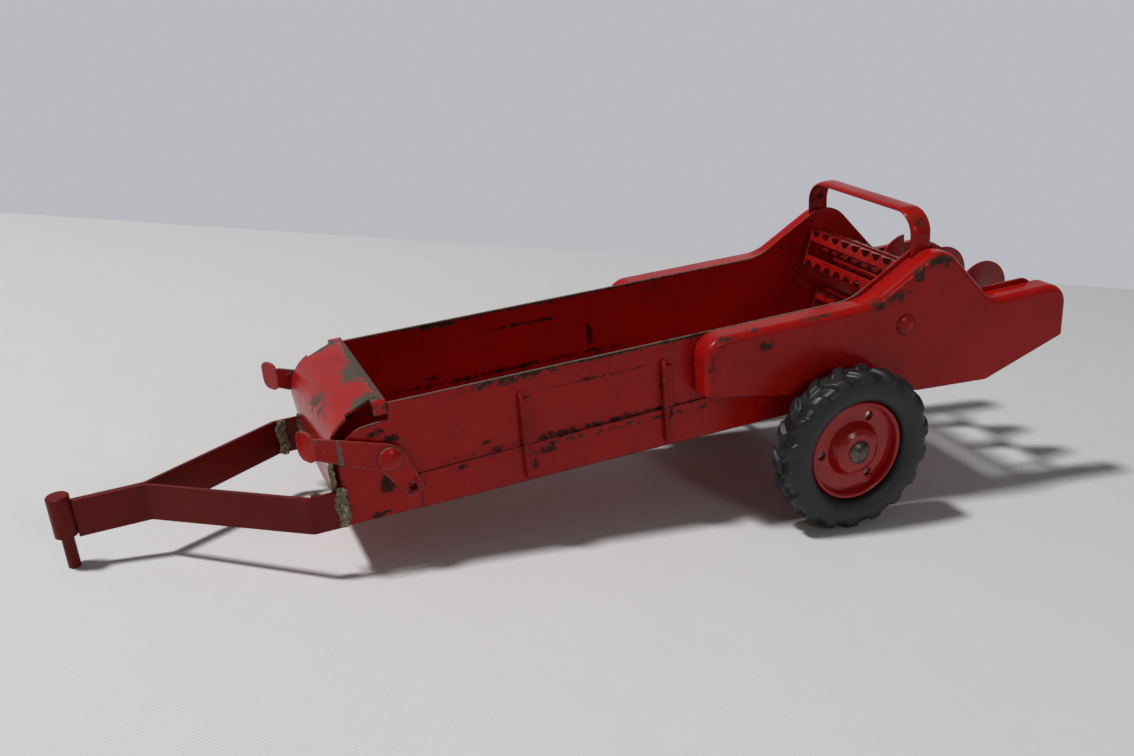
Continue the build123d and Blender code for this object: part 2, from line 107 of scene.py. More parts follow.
# Stoving enamel: sprayed and baked on pressed sheet, so glossy, a little wavy, and chipped to the steel
enamel = {
    "paint": "#ad130d",
    "faded": "#b83326",
    "deep": "#9c0f0b",
    "bare": "#4a382d",
    "rust": "#26180f",
    "polished": "#7f7267",  # steel kept bright by hands, on cut edges
    # The dark colour below is used for dirt and for painted shade in crevices
    "grimeAndShade": "#150b08",
    "roughness": 0.2,
    "sheen": 0.2,
    "chippedRoughness": 0.62,
    "chippedMetal": 0.2,
    "edgeRadius": 0.4,  # mm, how round a pressed edge looks
    "wearRadius": 0.9,  # mm, how far from an edge paint is lost
    "edgeWear": 0.3,
    "cutEdge": 0.0,  # how much more paint is lost on a cut edge inside a rub mark
    "patchSize": 26.0,  # mm, slow changes of tone
    "chipSize": 3.2,  # mm
    "speckSize": 0.7,  # mm
    "peelSize": 1.4,  # mm, how far the painted crevice shade reaches
    "creviceSize": 2.2,  # mm
    "lossLevel": (0.93, 0.97),  # noise plus wear where paint starts to go, and where it is gone
    "dirtAndShadeLevel": (0.9, 1.06),  # the same for the dark marks, which are dirt and painted shade
    "dirtAndShadeShare": 0.34,  # how much a dark mark, dirt and painted shade, adds to the noise
    "scratchGrain": (0.05, 1.4, 1.6),  # per mm, drawn long in X
    "peelDepth": 0.02,  # mm
    "dentDepth": 0.5,  # mm
    "filmDepth": 0.06,  # mm, the rim of the paint round a chip
    "scratch": 0.0,
    "rubs": [],
    "dirtAndShade": [],
}


# Gloss paint over steel. Paint is gone where noise plus wear passes a level; wear is high at folds,
# found by comparing the face's normal with its neighbours', and inside the rub marks.
def enamelMaterial(name, changes=None):
    look = {**enamel, **(changes or {})}
    material, tree, place = newMaterial(name)
    slow = addNode(tree, "ShaderNodeTexNoise", {
        "Vector": place, "Scale": 1 / look["patchSize"], "Detail": 3.0, "Roughness": 0.6}).outputs[0]
    chips = addNode(tree, "ShaderNodeTexNoise", {
        "Vector": place, "Scale": 1 / look["chipSize"], "Detail": 6.0, "Roughness": 0.72,
        "Distortion": 0.6}).outputs[0]
    specks = addNode(tree, "ShaderNodeTexNoise", {
        "Vector": place, "Scale": 1 / look["speckSize"], "Detail": 3.0, "Roughness": 0.6}).outputs[0]
    # Folds
    rounded = addNode(tree, "ShaderNodeBevel", {
        "Radius": look["edgeRadius"] * mm}, samples=lookSamples).outputs[0]
    wide = addNode(tree, "ShaderNodeBevel", {
        "Radius": look["wearRadius"] * mm}, samples=lookSamples).outputs[0]
    flat = addNode(tree, "ShaderNodeNewGeometry").outputs["True Normal"]
    likeness = addNode(tree, "ShaderNodeVectorMath", {
        0: wide, 1: flat}, operation="DOT_PRODUCT").outputs["Value"]
    fold = addNode(tree, "ShaderNodeMapRange", {
        "Value": likeness, "From Min": 0.985, "From Max": 0.8, "To Max": look["edgeWear"]}).outputs[0]
    # Cut edges of a sheet that stands along the toy: their normals have no sideways part
    sideways = addNode(tree, "ShaderNodeVectorMath", {
        0: flat, 1: (0, 1, 0)}, operation="DOT_PRODUCT").outputs["Value"]
    sideways = addNode(tree, "ShaderNodeMath", {0: sideways}, operation="ABSOLUTE").outputs[0]
    edgeOn = addNode(tree, "ShaderNodeMapRange", {
        "Value": sideways, "From Min": 0.6, "From Max": 0.2, "To Max": look["cutEdge"]}).outputs[0]
    wear = fold
    if look["rubs"]:
        rubbed = spots(tree, place, look["rubs"])
        wear = addNode(tree, "ShaderNodeMath", {0: fold, 1: rubbed}, operation="ADD").outputs[0]
        wear = addNode(tree, "ShaderNodeMath", {
            0: edgeOn, 1: rubbed, 2: wear}, operation="MULTIPLY_ADD").outputs[0]
    # Chips: mostly the middle noise, with ragged rims from the fine one
    ragged = addNode(tree, "ShaderNodeMath", {
        0: specks, 1: 0.3, 2: chips}, operation="MULTIPLY_ADD").outputs[0]
    ragged = addNode(tree, "ShaderNodeMapRange", {
        "Value": ragged, "From Min": 0.45, "From Max": 0.85, "To Min": 0.34, "To Max": 0.96},
        clamp=False).outputs[0]
    loss = addNode(tree, "ShaderNodeMath", {0: ragged, 1: wear}, operation="ADD").outputs[0]
    chipped = addNode(tree, "ShaderNodeMapRange", {
        "Value": loss, "From Min": look["lossLevel"][0], "From Max": look["lossLevel"][1]}).outputs[0]
    # Fine scratches
    stretched = addNode(tree, "ShaderNodeVectorMath", {
        0: place, 1: look["scratchGrain"]}, operation="MULTIPLY").outputs[0]
    lines = addNode(tree, "ShaderNodeTexNoise", {
        "Vector": stretched, "Scale": 1.0, "Detail": 2.0, "Roughness": 0.5}).outputs[0]
    scratched = addNode(tree, "ShaderNodeMapRange", {
        "Value": lines, "From Min": 0.68, "From Max": 0.76, "To Max": look["scratch"]}).outputs[0]
    # Painted shade in corners and crevices, where the AO node finds them, and the dark marks, which are
    # dirt and painted shade
    hollow = addNode(tree, "ShaderNodeAmbientOcclusion", {
        "Distance": look["creviceSize"] * mm}, samples=lookSamples).outputs["AO"]
    creviceShade = addNode(tree, "ShaderNodeMapRange", {
        "Value": hollow, "From Min": 0.62, "From Max": 0.2, "To Max": 0.6}).outputs[0]
    dirtyAndShaded = creviceShade
    if look["dirtAndShade"]:
        dirtAndShadeSpots = spots(tree, place, look["dirtAndShade"])
        thick = addNode(tree, "ShaderNodeMath", {
            0: dirtAndShadeSpots, 1: look["dirtAndShadeShare"], 2: ragged}, operation="MULTIPLY_ADD").outputs[0]
        dirtAndShadeCover = addNode(tree, "ShaderNodeMapRange", {
            "Value": thick, "From Min": look["dirtAndShadeLevel"][0], "From Max": look["dirtAndShadeLevel"][1],
            "To Max": 0.92}).outputs[0]
        dirtyAndShaded = addNode(tree, "ShaderNodeMath", {0: dirtAndShadeCover, 1: creviceShade}, operation="MAXIMUM").outputs[0]
    # Colour, from the paint out
    tone = addNode(tree, "ShaderNodeMapRange", {
        "Value": slow, "From Min": 0.35, "From Max": 0.7}).outputs[0]
    painted = addNode(tree, "ShaderNodeMix", {
        0: tone, 6: hexLinear(look["deep"]), 7: hexLinear(look["paint"])}, data_type="RGBA").outputs[2]
    bloom = addNode(tree, "ShaderNodeMapRange", {
        "Value": chips, "From Min": 0.5, "From Max": 0.75, "To Max": 0.3}).outputs[0]
    painted = addNode(tree, "ShaderNodeMix", {
        0: bloom, 6: painted, 7: hexLinear(look["faded"])}, data_type="RGBA").outputs[2]
    painted = addNode(tree, "ShaderNodeMix", {
        0: scratched, 6: painted, 7: hexLinear(look["bare"])}, data_type="RGBA").outputs[2]
    rusty = addNode(tree, "ShaderNodeMapRange", {
        "Value": specks, "From Min": 0.4, "From Max": 0.62}).outputs[0]
    steel = addNode(tree, "ShaderNodeMix", {
        0: rusty, 6: hexLinear(look["rust"]), 7: hexLinear(look["bare"])}, data_type="RGBA").outputs[2]
    steel = addNode(tree, "ShaderNodeMix", {
        0: edgeOn, 6: steel, 7: hexLinear(look["polished"])}, data_type="RGBA").outputs[2]
    surface = addNode(tree, "ShaderNodeMix", {
        0: chipped, 6: painted, 7: steel}, data_type="RGBA").outputs[2]
    # Painted shade: crevices and the dark marks turn the colour towards the dark of dirt and shade
    surface = addNode(tree, "ShaderNodeMix", {
        0: dirtyAndShaded, 6: surface, 7: hexLinear(look["grimeAndShade"])}, data_type="RGBA").outputs[2]
    # Gloss, and the shape of the paint film
    dull = addNode(tree, "ShaderNodeMath", {0: chipped, 1: dirtyAndShaded}, operation="MAXIMUM").outputs[0]
    smear = addNode(tree, "ShaderNodeMapRange", {
        "Value": slow, "From Min": 0.3, "From Max": 0.7,
        "To Min": look["roughness"] + 0.12, "To Max": look["roughness"] - 0.04}).outputs[0]
    roughness = addNode(tree, "ShaderNodeMix", {
        0: dull, 2: smear, 3: look["chippedRoughness"]}, data_type="FLOAT").outputs[0]
    metal = addNode(tree, "ShaderNodeMath", {
        0: chipped, 1: look["chippedMetal"]}, operation="MULTIPLY").outputs[0]
    peel = addNode(tree, "ShaderNodeTexNoise", {
        "Vector": place, "Scale": 1 / look["peelSize"], "Detail": 1.0}).outputs[0]
    wavy = addNode(tree, "ShaderNodeBump", {
        "Height": peel, "Normal": rounded, "Strength": 0.25, "Distance": look["peelDepth"] * mm}).outputs[0]
    dented = addNode(tree, "ShaderNodeBump", {
        "Height": slow, "Normal": wavy, "Strength": 0.4, "Distance": look["dentDepth"] * mm}).outputs[0]
    filmed = addNode(tree, "ShaderNodeBump", {
        "Height": chipped, "Normal": dented, "Strength": 0.6, "Distance": look["filmDepth"] * mm},
        invert=True).outputs[0]
    shader = addNode(tree, "ShaderNodeBsdfPrincipled", {
        "Base Color": surface, "Roughness": roughness, "Metallic": metal, "Normal": filmed,
        "IOR": 1.5, "Specular IOR Level": look["sheen"]})
    addNode(tree, "ShaderNodeOutputMaterial", {"Surface": shader.outputs[0]})
    return material


# Moulded rubber: matt and nearly black, grey where dust and floors have scuffed it
rubber = {
    "fresh": "#0e1113",
    "scuffed": "#212628",
    "dust": "#3b3b36",
    "grainSize": 0.5,  # mm
    "scuffSize": 5.0,  # mm
    "hollowSize": 2.5,  # mm, how near a neighbour keeps a place from being scuffed
    "grainDepth": 0.05,  # mm
    "scuffDepth": 0.3,  # mm
    "roughness": (0.38, 0.58),
}


def rubberMaterial(name):
    material, tree, place = newMaterial(name)
    grain = addNode(tree, "ShaderNodeTexNoise", {
        "Vector": place, "Scale": 1 / rubber["grainSize"], "Detail": 3.0}).outputs[0]
    scuff = addNode(tree, "ShaderNodeTexNoise", {
        "Vector": place, "Scale": 1 / rubber["scuffSize"], "Detail": 5.0, "Roughness": 0.65}).outputs[0]
    worn = addNode(tree, "ShaderNodeMapRange", {
        "Value": scuff, "From Min": 0.45, "From Max": 0.75}).outputs[0]
    hollow = addNode(tree, "ShaderNodeAmbientOcclusion", {
        "Distance": rubber["hollowSize"] * mm}, samples=lookSamples).outputs["AO"]
    proud = addNode(tree, "ShaderNodeMapRange", {
        "Value": hollow, "From Min": 0.55, "From Max": 1.0}).outputs[0]
    amount = addNode(tree, "ShaderNodeMath", {0: worn, 1: proud}, operation="MULTIPLY").outputs[0]
    base = addNode(tree, "ShaderNodeMix", {
        0: amount, 6: hexLinear(rubber["fresh"]), 7: hexLinear(rubber["scuffed"])},
        data_type="RGBA").outputs[2]
    dusty = addNode(tree, "ShaderNodeMapRange", {
        "Value": grain, "From Min": 0.62, "From Max": 0.8, "To Max": 0.35}).outputs[0]
    base = addNode(tree, "ShaderNodeMix", {
        0: dusty, 6: base, 7: hexLinear(rubber["dust"])}, data_type="RGBA").outputs[2]
    roughness = addNode(tree, "ShaderNodeMapRange", {
        "Value": scuff, "From Min": 0.3, "From Max": 0.7,
        "To Min": rubber["roughness"][0], "To Max": rubber["roughness"][1]}).outputs[0]
    pitted = addNode(tree, "ShaderNodeBump", {
        "Height": grain, "Strength": 0.4, "Distance": rubber["grainDepth"] * mm}).outputs[0]
    rolling = addNode(tree, "ShaderNodeBump", {
        "Height": scuff, "Normal": pitted, "Strength": 0.4,
        "Distance": rubber["scuffDepth"] * mm}).outputs[0]
    shader = addNode(tree, "ShaderNodeBsdfPrincipled", {
        "Base Color": base, "Roughness": roughness, "Normal": rolling, "IOR": 1.52})
    addNode(tree, "ShaderNodeOutputMaterial", {"Surface": shader.outputs[0]})
    return material


# Mild steel, cold headed and left bare: dull grey with brown spots
steel = {
    "bright": "#776c60",
    "dark": "#3d352e",
    "rust": "#33201a",
    "spotSize": 1.6,  # mm
    "edgeRadius": 0.25,  # mm
    "pitDepth": 0.08,  # mm
}


def steelMaterial(name):
    material, tree, place = newMaterial(name)
    blotch = addNode(tree, "ShaderNodeTexNoise", {
        "Vector": place, "Scale": 1 / steel["spotSize"], "Detail": 5.0, "Roughness": 0.65}).outputs[0]
    tone = addNode(tree, "ShaderNodeMapRange", {
        "Value": blotch, "From Min": 0.35, "From Max": 0.6}).outputs[0]
    base = addNode(tree, "ShaderNodeMix", {
        0: tone, 6: hexLinear(steel["dark"]), 7: hexLinear(steel["bright"])}, data_type="RGBA").outputs[2]
    spot = addNode(tree, "ShaderNodeMapRange", {
        "Value": blotch, "From Min": 0.56, "From Max": 0.64}).outputs[0]
    base = addNode(tree, "ShaderNodeMix", {
        0: spot, 6: base, 7: hexLinear(steel["rust"])}, data_type="RGBA").outputs[2]
    metal = addNode(tree, "ShaderNodeMapRange", {
        "Value": spot, "To Min": 0.85, "To Max": 0.1}).outputs[0]
    roughness = addNode(tree, "ShaderNodeMapRange", {
        "Value": spot, "To Min": 0.3, "To Max": 0.75}).outputs[0]
    rounded = addNode(tree, "ShaderNodeBevel", {
        "Radius": steel["edgeRadius"] * mm}, samples=lookSamples).outputs[0]
    pitted = addNode(tree, "ShaderNodeBump", {
        "Height": blotch, "Normal": rounded, "Strength": 0.5,
        "Distance": steel["pitDepth"] * mm}).outputs[0]
    shader = addNode(tree, "ShaderNodeBsdfPrincipled", {
        "Base Color": base, "Roughness": roughness, "Metallic": metal, "Normal": pitted})
    addNode(tree, "ShaderNodeOutputMaterial", {"Surface": shader.outputs[0]})
    return material


# Brazing run on by torch: dull yellow-grey metal under burnt flux
brazing = {
    "metal": "#7d7458",
    "flux": "#2a2118",
    "ash": "#bfb79c",
    "grainSize": 1.2,  # mm
    "lumpDepth": 0.3,  # mm
    "roughness": 0.6,
    "metallic": 0.2,
}


def brazeMaterial(name):
    material, tree, place = newMaterial(name)
    lumps = addNode(tree, "ShaderNodeTexNoise", {
        "Vector": place, "Scale": 1 / brazing["grainSize"], "Detail": 6.0, "Roughness": 0.7}).outputs[0]
    burnt = addNode(tree, "ShaderNodeMapRange", {
        "Value": lumps, "From Min": 0.38, "From Max": 0.52}).outputs[0]
    base = addNode(tree, "ShaderNodeMix", {
        0: burnt, 6: hexLinear(brazing["flux"]), 7: hexLinear(brazing["metal"])},
        data_type="RGBA").outputs[2]
    ashy = addNode(tree, "ShaderNodeMapRange", {
        "Value": lumps, "From Min": 0.56, "From Max": 0.66}).outputs[0]
    base = addNode(tree, "ShaderNodeMix", {
        0: ashy, 6: base, 7: hexLinear(brazing["ash"])}, data_type="RGBA").outputs[2]
    rough = addNode(tree, "ShaderNodeBump", {
        "Height": lumps, "Strength": 0.8, "Distance": brazing["lumpDepth"] * mm}).outputs[0]
    shader = addNode(tree, "ShaderNodeBsdfPrincipled", {
        "Base Color": base, "Roughness": brazing["roughness"], "Metallic": brazing["metallic"],
        "Normal": rough})
    addNode(tree, "ShaderNodeOutputMaterial", {"Surface": shader.outputs[0]})
    return material


# Wear marks are (centre, reach, strength) in millimetres; a long reach across covers both sides
across = 400.0


# The marks, and the same ones mirrored to the right side: y turns to -y
def bothSides(marks):
    return [((x, y * side, z), reach, strength) for side in (1, -1) for (x, y, z), reach, strength in marks]


wallMarks = {
    "edgeWear": 0.38,
    "cutEdge": 0.6,
    "rubs": [
        ((78, 0, 51.8), (135, across, 4.0), 0.54),
        ((128, 0, 49.5), (26, across, 3.4), 0.4),
        ((176, 0, 45), (12, across, 4.5), 0.36),
        ((186, 0, 36), (4.5, across, 10), 0.42),
        ((187, 0, 20), (2.4, across, 17), 0.44),
        ((92, 0, 22), (80, across, 1.8), 0.3),
        ((40, 0, 44), (16, across, 7), 0.24),
        ((100, 0, 9.4), (90, across, 1.5), 0.36),
    ],
    # Dark marks on the wall: dirt and gunk, and painted shade. The lever's cast shadow beside its tail is
    # painted shade; the line above the sill step, the top edge of the sunk label panel and the sides of the
    # stakes are painted shade with gunk
    "dirtAndShade": [
        ((170.3, 0, 21.0), (5.2, across, 5.2), 1.7),
        ((167.4, 0, 37.6), (4.6, across, 2.4), 1.5),
        ((172.8, 0, 40.4), (7, across, 3.4), 1.0),
        ((160, 0, 19.0), (5, across, 4.5), 0.9),
        ((114.0, 0, 19.8), (8, across, 3.4), 1.2),
        ((118.8, 0, 15.2), (2.4, across, 4), 1.4),
        ((135.2, 0, 27.8), (3.2, across, 1.2), 1.6),
        ((144.9, 0, 21.2), (4, across, 2), 1.3),
        ((175.0, 0, 11.1), (6, across, 2.6), 1.2),
        ((145.5, 0, 9.2), (16, across, 1.8), 1.2),
        ((100, 0, 24.8), (90, across, 2.2), 1.1),
        ((93, 0, 42.6), (30, across, 1.6), 1.1),
        ((67.5, 0, 33), (2.8, across, 13), 1.3),
        ((66, 0, 23), (5, across, 9), 1.1),
        ((40, 0, 50), (60, across, 2.6), 0.7),
    ],
}
panelMarks = {
    "sheen": 0.3,
    "edgeWear": 0.42,
    "cutEdge": 0.3,
    "rubs": [
        ((168, 0, 51), (4.5, 44, 6), 0.52),
        ((171, 4, 51), (8, 15, 5), 0.46),
        ((173, 29, 49), (10, 9, 7), 0.5),
        ((173, -29, 49), (9, 7, 6), 0.36),
        ((184, 6, 43), (6, 22, 7), 0.3),
    ],
    "dirtAndShade": [((168, 0, 47), (3, 45, 6), 0.9)],
}
fenderMarks = {
    "edgeWear": 0.3,
    "wearRadius": 2.0,
    "chipSize": 1.7,
    "rubs": bothSides([
        ((-46.0, 43, 62.0), (11, 3, 4.5), 0.46),
        ((-36.5, 43, 58.5), (5, 3, 6), 0.46),
        ((-27.0, 42, 51.5), (10, 4, 5), 0.38),
        ((-18.0, 42, 49.5), (9, 4, 4), 0.38),
        ((9.0, 42, 50.5), (20, 3, 3), 0.34),
        ((35.0, 42, 51.5), (7, 4, 3.6), 0.42),
        ((47.0, 43, 51.0), (8, 4, 6), 0.42),
        ((30.2, 43, 43.9), (5, 3, 3.2), 0.48),
        ((52.0, 42, 40.0), (3, 4, 9), 0.34),
        ((-85, 43, 43), (20, 4, 3), 0.26),
    ]),
    "dirtAndShade": [((-30.8, 0, 39.6), (6.2, across, 6.2), 0.6)],
}
handleMarks = {
    "paint": "#a11610",
    "sheen": 0.16,
    "edgeWear": 0.52,
    "wearRadius": 1.0,
    "rubs": bothSides([((-43, 33, 74), (9, 5, 9), 0.26)]),
}
plainMarks = {"edgeWear": 0.46, "cutEdge": 0.5, "rubs": [((95, 0, 24), (40, across, 26), 0.22)]}
barMarks = {
    "paint": "#6f110d",
    "faded": "#7b231b",
    "deep": "#630e0b",
    "sheen": 0.16,
    "edgeWear": 0.24,
    "roughness": 0.3,
}
floorMarks = {
    "roughness": 0.42,
    "scratch": 0.5,
    "rubs": [((40, 0, 10.7), (110, 30, 3), 0.2)],
}
leverMarks = {
    "bare": "#85796d",
    "rust": "#4d3d32",
    "edgeWear": 0.5,
    "rubs": [((185.5, 0, 36), (1.6, across, 9), 0.5), ((190, 0, 42), (5, across, 6), 0.24)],
    "dirtAndShade": [((163, 0, 19.2), (5, across, 5), 1.0)],
}
wheelMarks = {
    "edgeWear": 0.16,
    "roughness": 0.13,
    "sheen": 0.45,
    "dirtAndShade": [((0, 0, 0), (8, across, 8), 0.5)],
}
rotorMarks = {"edgeWear": 0.4, "roughness": 0.28}

finishes = {
    "side_wall": enamelMaterial("enamel_wall", wallMarks),
    "front_panel": enamelMaterial("enamel_panel", panelMarks),
    "fender": enamelMaterial("enamel_fender", fenderMarks),
    "floor": enamelMaterial("enamel_floor", floorMarks),
    "lever": enamelMaterial("enamel_lever", leverMarks),
    "wheel": enamelMaterial("enamel_wheel", wheelMarks),
    "rotor": enamelMaterial("enamel_rotor", rotorMarks),
    "bar": enamelMaterial("enamel_drawbar", barMarks),
    "plain": enamelMaterial("enamel_plain", plainMarks),
    "handle": enamelMaterial("enamel_handle", handleMarks),
    "steel": steelMaterial("mild_steel"),
    "rubber": rubberMaterial("moulded_rubber"),
    "braze": brazeMaterial("burnt_braze"),
}
print("materials made:", len(finishes))

# Which finish each CAD piece wears; the first match counts
wearing = [
    ("side_wall", "side_wall"), ("front_panel", "front_panel"), ("fender_rivet", "fender"),
    ("fender", "fender"), ("floor", "floor"), ("lever", "lever"), ("wheel", "wheel"),
    ("upper_beater", "rotor"), ("lower_beater", "rotor"), ("spread_auger", "rotor"),
    ("drawbar", "bar"), ("hitch", "bar"), ("axle_hanger", "plain"), ("axle", "steel"),
    ("upper_shaft", "bar"), ("lower_shaft", "bar"), ("auger_shaft", "bar"),
    ("tyre", "rubber"), ("braze", "braze"), ("handle", "handle"), ("stake", "plain"),
]
for name, piece in nodes.items():
    finish = next(kind for start, kind in wearing if name.startswith(start))
    piece.data.materials.clear()
    piece.data.materials.append(finishes[finish])
print("CAD pieces dressed")


# Puts an array of points and faces into a mesh that rides on a body.
def newPiece(name, points, faces, body, finish, slotName, *replaced):
    mesh = bpy.data.meshes.new(name)
    mesh.from_pydata(points.tolist(), [], faces)
    mesh.shade_smooth()
    mesh.materials.append(finishes[finish])
    piece = bpy.data.objects.new(name, mesh)
    bpy.context.scene.collection.objects.link(piece)
    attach(piece, body)
    if replaced:
        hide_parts(*replaced)
    return piece


# Quads of a grid that closes on itself both ways: corner (i, j) joins (i+1, j) and (i, j+1).
def ringFaces(rows, columns):
    i, j = np.meshgrid(np.arange(rows), np.arange(columns), indexing="ij")
    i, j = i.ravel(), j.ravel()
    up, over = (i + 1) % rows, (j + 1) % columns
    return np.stack([i * columns + j, i * columns + over, up * columns + over, up * columns + j], axis=1)


# Toy tyre, one rubber moulding; lengths in millimetres, radii from the axle
tyre = {
    "radius": 31.75,
    "tread": 30.4,
    "halfWidth": 6.95,
    "lugs": 18,
    "lugWidth": 4.3,
    "slant": 36.0,
    "edge": 1.5,  # how far a lug's flank runs out
    "start": 0.5,  # where a lug begins, off the middle
    "shoulder": (5.0, 6.2),  # off the middle, where lugs fold over the side
    "overhang": 0.35,
    "drop": 0.2,  # how much lower a lug is at its outer end
    "dropAcross": (4.6, 6.6),  # off the middle, where it gets lower
    "rise": (-0.2, 0.4),  # about its start, where a lug comes up
    "treadFrom": (27.0, 29.6),  # radii between which the side turns into tread
    "outline": [  # (radius, off the middle), half of the section from the seat to the tread
        (18.4, 0.0), (18.4, 1.9), (19.6, 2.95), (20.1, 4.7), (20.5, 5.35), (21.6, 6.2),
        (23.2, 6.75), (24.9, 6.95), (26.6, 6.9), (28.0, 6.6), (29.1, 6.1), (29.9, 5.3),
        (30.3, 4.2), (30.4, 2.6), (30.4, 1.2), (30.4, 0.0)],
    "around": 900,
    "section": 96,
}


# 0 below low, 1 above high, and 3t^2 - 2t^3 between.
def smoothStep(low, high, value):
    t = np.clip((value - low) / (high - low), 0, 1)
    return t * t * (3 - 2 * t)


# A closed section carried round the axle. The section is radius r(s), width w(s) on a rounded outline;
# where it is tread, r gains the lug height: 1 inside a slanting bar, 0 between bars.
def tyreSurface(side):
    outline = np.array(tyre["outline"])
    lengths = np.concatenate([[0], np.cumsum(np.hypot(*np.diff(outline, axis=0).T))])
    half = tyre["section"] // 2
    step = np.linspace(0, lengths[-1], half + 1)
    r = np.interp(step, lengths, outline[:, 0])
    w = np.interp(step, lengths, outline[:, 1])
    r = np.concatenate([r, r[-2:0:-1]])
    w = np.concatenate([w, -w[-2:0:-1]])
    turn = np.linspace(0, 2 * np.pi, tyre["around"], endpoint=False)
    turn, r = np.meshgrid(turn, r, indexing="ij")
    w = np.broadcast_to(w, r.shape)
    row = np.where(w >= 0, 1, -1)
    pitch = 2 * np.pi / tyre["lugs"]
    middle = (tyre["start"] + tyre["halfWidth"]) / 2
    slant = np.radians(tyre["slant"])
    lean = np.tan(slant) * (np.abs(w) - middle) / tyre["radius"]
    offset = (turn - lean) / pitch - row / 4
    offset = (offset - np.round(offset)) * pitch * tyre["radius"] * np.cos(slant)
    inner, outer = (tyre["lugWidth"] - tyre["edge"]) / 2, (tyre["lugWidth"] + tyre["edge"]) / 2
    bar = 1 - smoothStep(inner, outer, np.abs(offset))
    bar = bar * smoothStep(tyre["start"] + tyre["rise"][0], tyre["start"] + tyre["rise"][1], np.abs(w))
    onTread = smoothStep(*tyre["treadFrom"], r)
    crown = tyre["radius"] - tyre["tread"] - tyre["drop"] * smoothStep(*tyre["dropAcross"], np.abs(w))
    r = r + bar * onTread * crown
    w = w + row * bar * onTread * tyre["overhang"] * smoothStep(*tyre["shoulder"], np.abs(w))
    w = np.clip(w, -tyre["halfWidth"], tyre["halfWidth"])
    low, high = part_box("tyre_" + side)
    middleY = (low.y + high.y) / 2
    points = np.stack([
        axleCentre.x + r * np.cos(turn) * mm,
        middleY + w * mm,
        axleCentre.z + r * np.sin(turn) * mm], axis=-1)
    return points.reshape(-1, 3), ringFaces(*r.shape)[:, ::-1]


for side in ("left", "right"):
    points, faces = tyreSurface(side)
    newPiece("rubber_tyre_" + side, points, faces.tolist(), "wheel_" + side, "rubber", "rubber",
             "tyre_" + side)
print("tyres made")


# Millimetres about the axle, level with the box floor, to the parked frame in metres: turned about the
# cross axis by the nose-down angle, then moved to the axle.
def toRow(points):
    x, y, z = points[..., 0], points[..., 1], points[..., 2]
    turned = np.stack([
        x * math.cos(noseDown) + z * math.sin(noseDown), y,
        z * math.cos(noseDown) - x * math.sin(noseDown)], axis=-1)
    return turned * mm + np.array(axleCentre)


# A grid of rings (row, column) as a tube; each end is closed with a fan to its ring's middle
def cappedTube(points):
    rows, columns = points.shape[:2]
    count = rows * columns
    walls = ringFaces(rows, columns)[:-columns]
    j = np.arange(columns)
    over = (j + 1) % columns
    last = count - columns
    foot = np.stack([over, j, np.full_like(j, count)], axis=1)
    head = np.stack([last + j, last + over, np.full_like(j, count + 1)], axis=1)
    middles = np.array([points[0].mean(0), points[-1].mean(0)])
    return np.vstack([points.reshape(-1, 3), middles]), walls.tolist() + foot.tolist() + head.tolist()


# Carrying handle: one strip with its edges curled under, bent over the box; lengths in millimetres
handle = {
    "middle": -43.0,
    "width": 9.0,
    "outer": 35.3,  # half the span over its outside
    "top": 80.0,
    "foot": 52.0,
    "bend": 9.8,
    "thick": 0.9,
    "curl": 0.7,
    "flatness": 0.35,  # power of the section's width; the smaller, the squarer
    "roundness": 0.6,  # power of its depth
    "along": 160,
    "section": 40,
}


# The outside path is a leg, a quarter circle, the top, a quarter circle and a leg. The section is a
# flat oval, |cos|^flatness wide, whose edges drop by curl * |x / half|^3 towards the inside.
def handleSurface():
    reach, rise, bend = handle["outer"], handle["top"], handle["bend"]
    leg = rise - bend - handle["foot"]
    quarter = bend * np.pi / 2
    half = leg + quarter + (reach - bend)
    s = np.linspace(0, half, handle["along"] // 2)
    turn = np.clip((s - leg) / bend, 0, np.pi / 2)
    flat = np.clip(s - leg - quarter, 0, None)
    y = reach - bend + bend * np.cos(turn) - flat
    z = handle["foot"] + np.clip(s, 0, leg) + bend * np.sin(turn)
    outY, outZ = np.cos(turn), np.sin(turn)
    y = np.concatenate([y, -y[-2::-1]])
    z = np.concatenate([z, z[-2::-1]])
    outY = np.concatenate([outY, -outY[-2::-1]])
    outZ = np.concatenate([outZ, outZ[-2::-1]])
    around = np.linspace(0, 2 * np.pi, handle["section"], endpoint=False)
    wide = np.sign(np.cos(around)) * np.abs(np.cos(around)) ** handle["flatness"]
    deep = np.sign(np.sin(around)) * np.abs(np.sin(around)) ** handle["roundness"] * handle["thick"] / 2
    deep = deep - handle["thick"] / 2 - handle["curl"] * np.abs(wide) ** 3
    x = np.broadcast_to(handle["middle"] + wide * handle["width"] / 2, (len(y), len(around)))
    points = np.stack([x, y[:, None] + outY[:, None] * deep, z[:, None] + outZ[:, None] * deep], axis=-1)
    points, faces = cappedTube(points)
    return toRow(points), faces


points, faces = handleSurface()
newPiece("carrying_handle", points, faces, "frame", "handle", "red_enamel", "handle")
print("handle made")

# Braze run on where the drawbars meet the box; lengths in millimetres about the axle
braze = {
    "rows": 90,
    "columns": 32,
    "square": 0.6,
    "waver": 0.12,
    "swell": [(0.07, 3, 7), (0.05, 2, 17), (0.04, 0, 31)],  # how much, and waves round and along
    "seams": {  # middle on the left, half sizes, side, and the CAD piece that the seam stands for
        "braze_end_left": ((187.2, 34.7, 17.4), (2.7, 1.1, 7.4), 1, "braze_left"),
        "braze_end_right": ((187.2, 34.7, 17.4), (2.7, 1.1, 7.4), -1, "braze_right"),
        "braze_corner_left": ((195.4, 33.0, 17.2), (2.4, 1.2, 7.2), 1, None),
        "braze_corner_right": ((195.4, 33.0, 17.2), (2.4, 1.2, 7.2), -1, None),
        "braze_trail": ((188.8, 33.2, 28.6), (1.1, 1.1, 5.8), 1, None),
    },
}


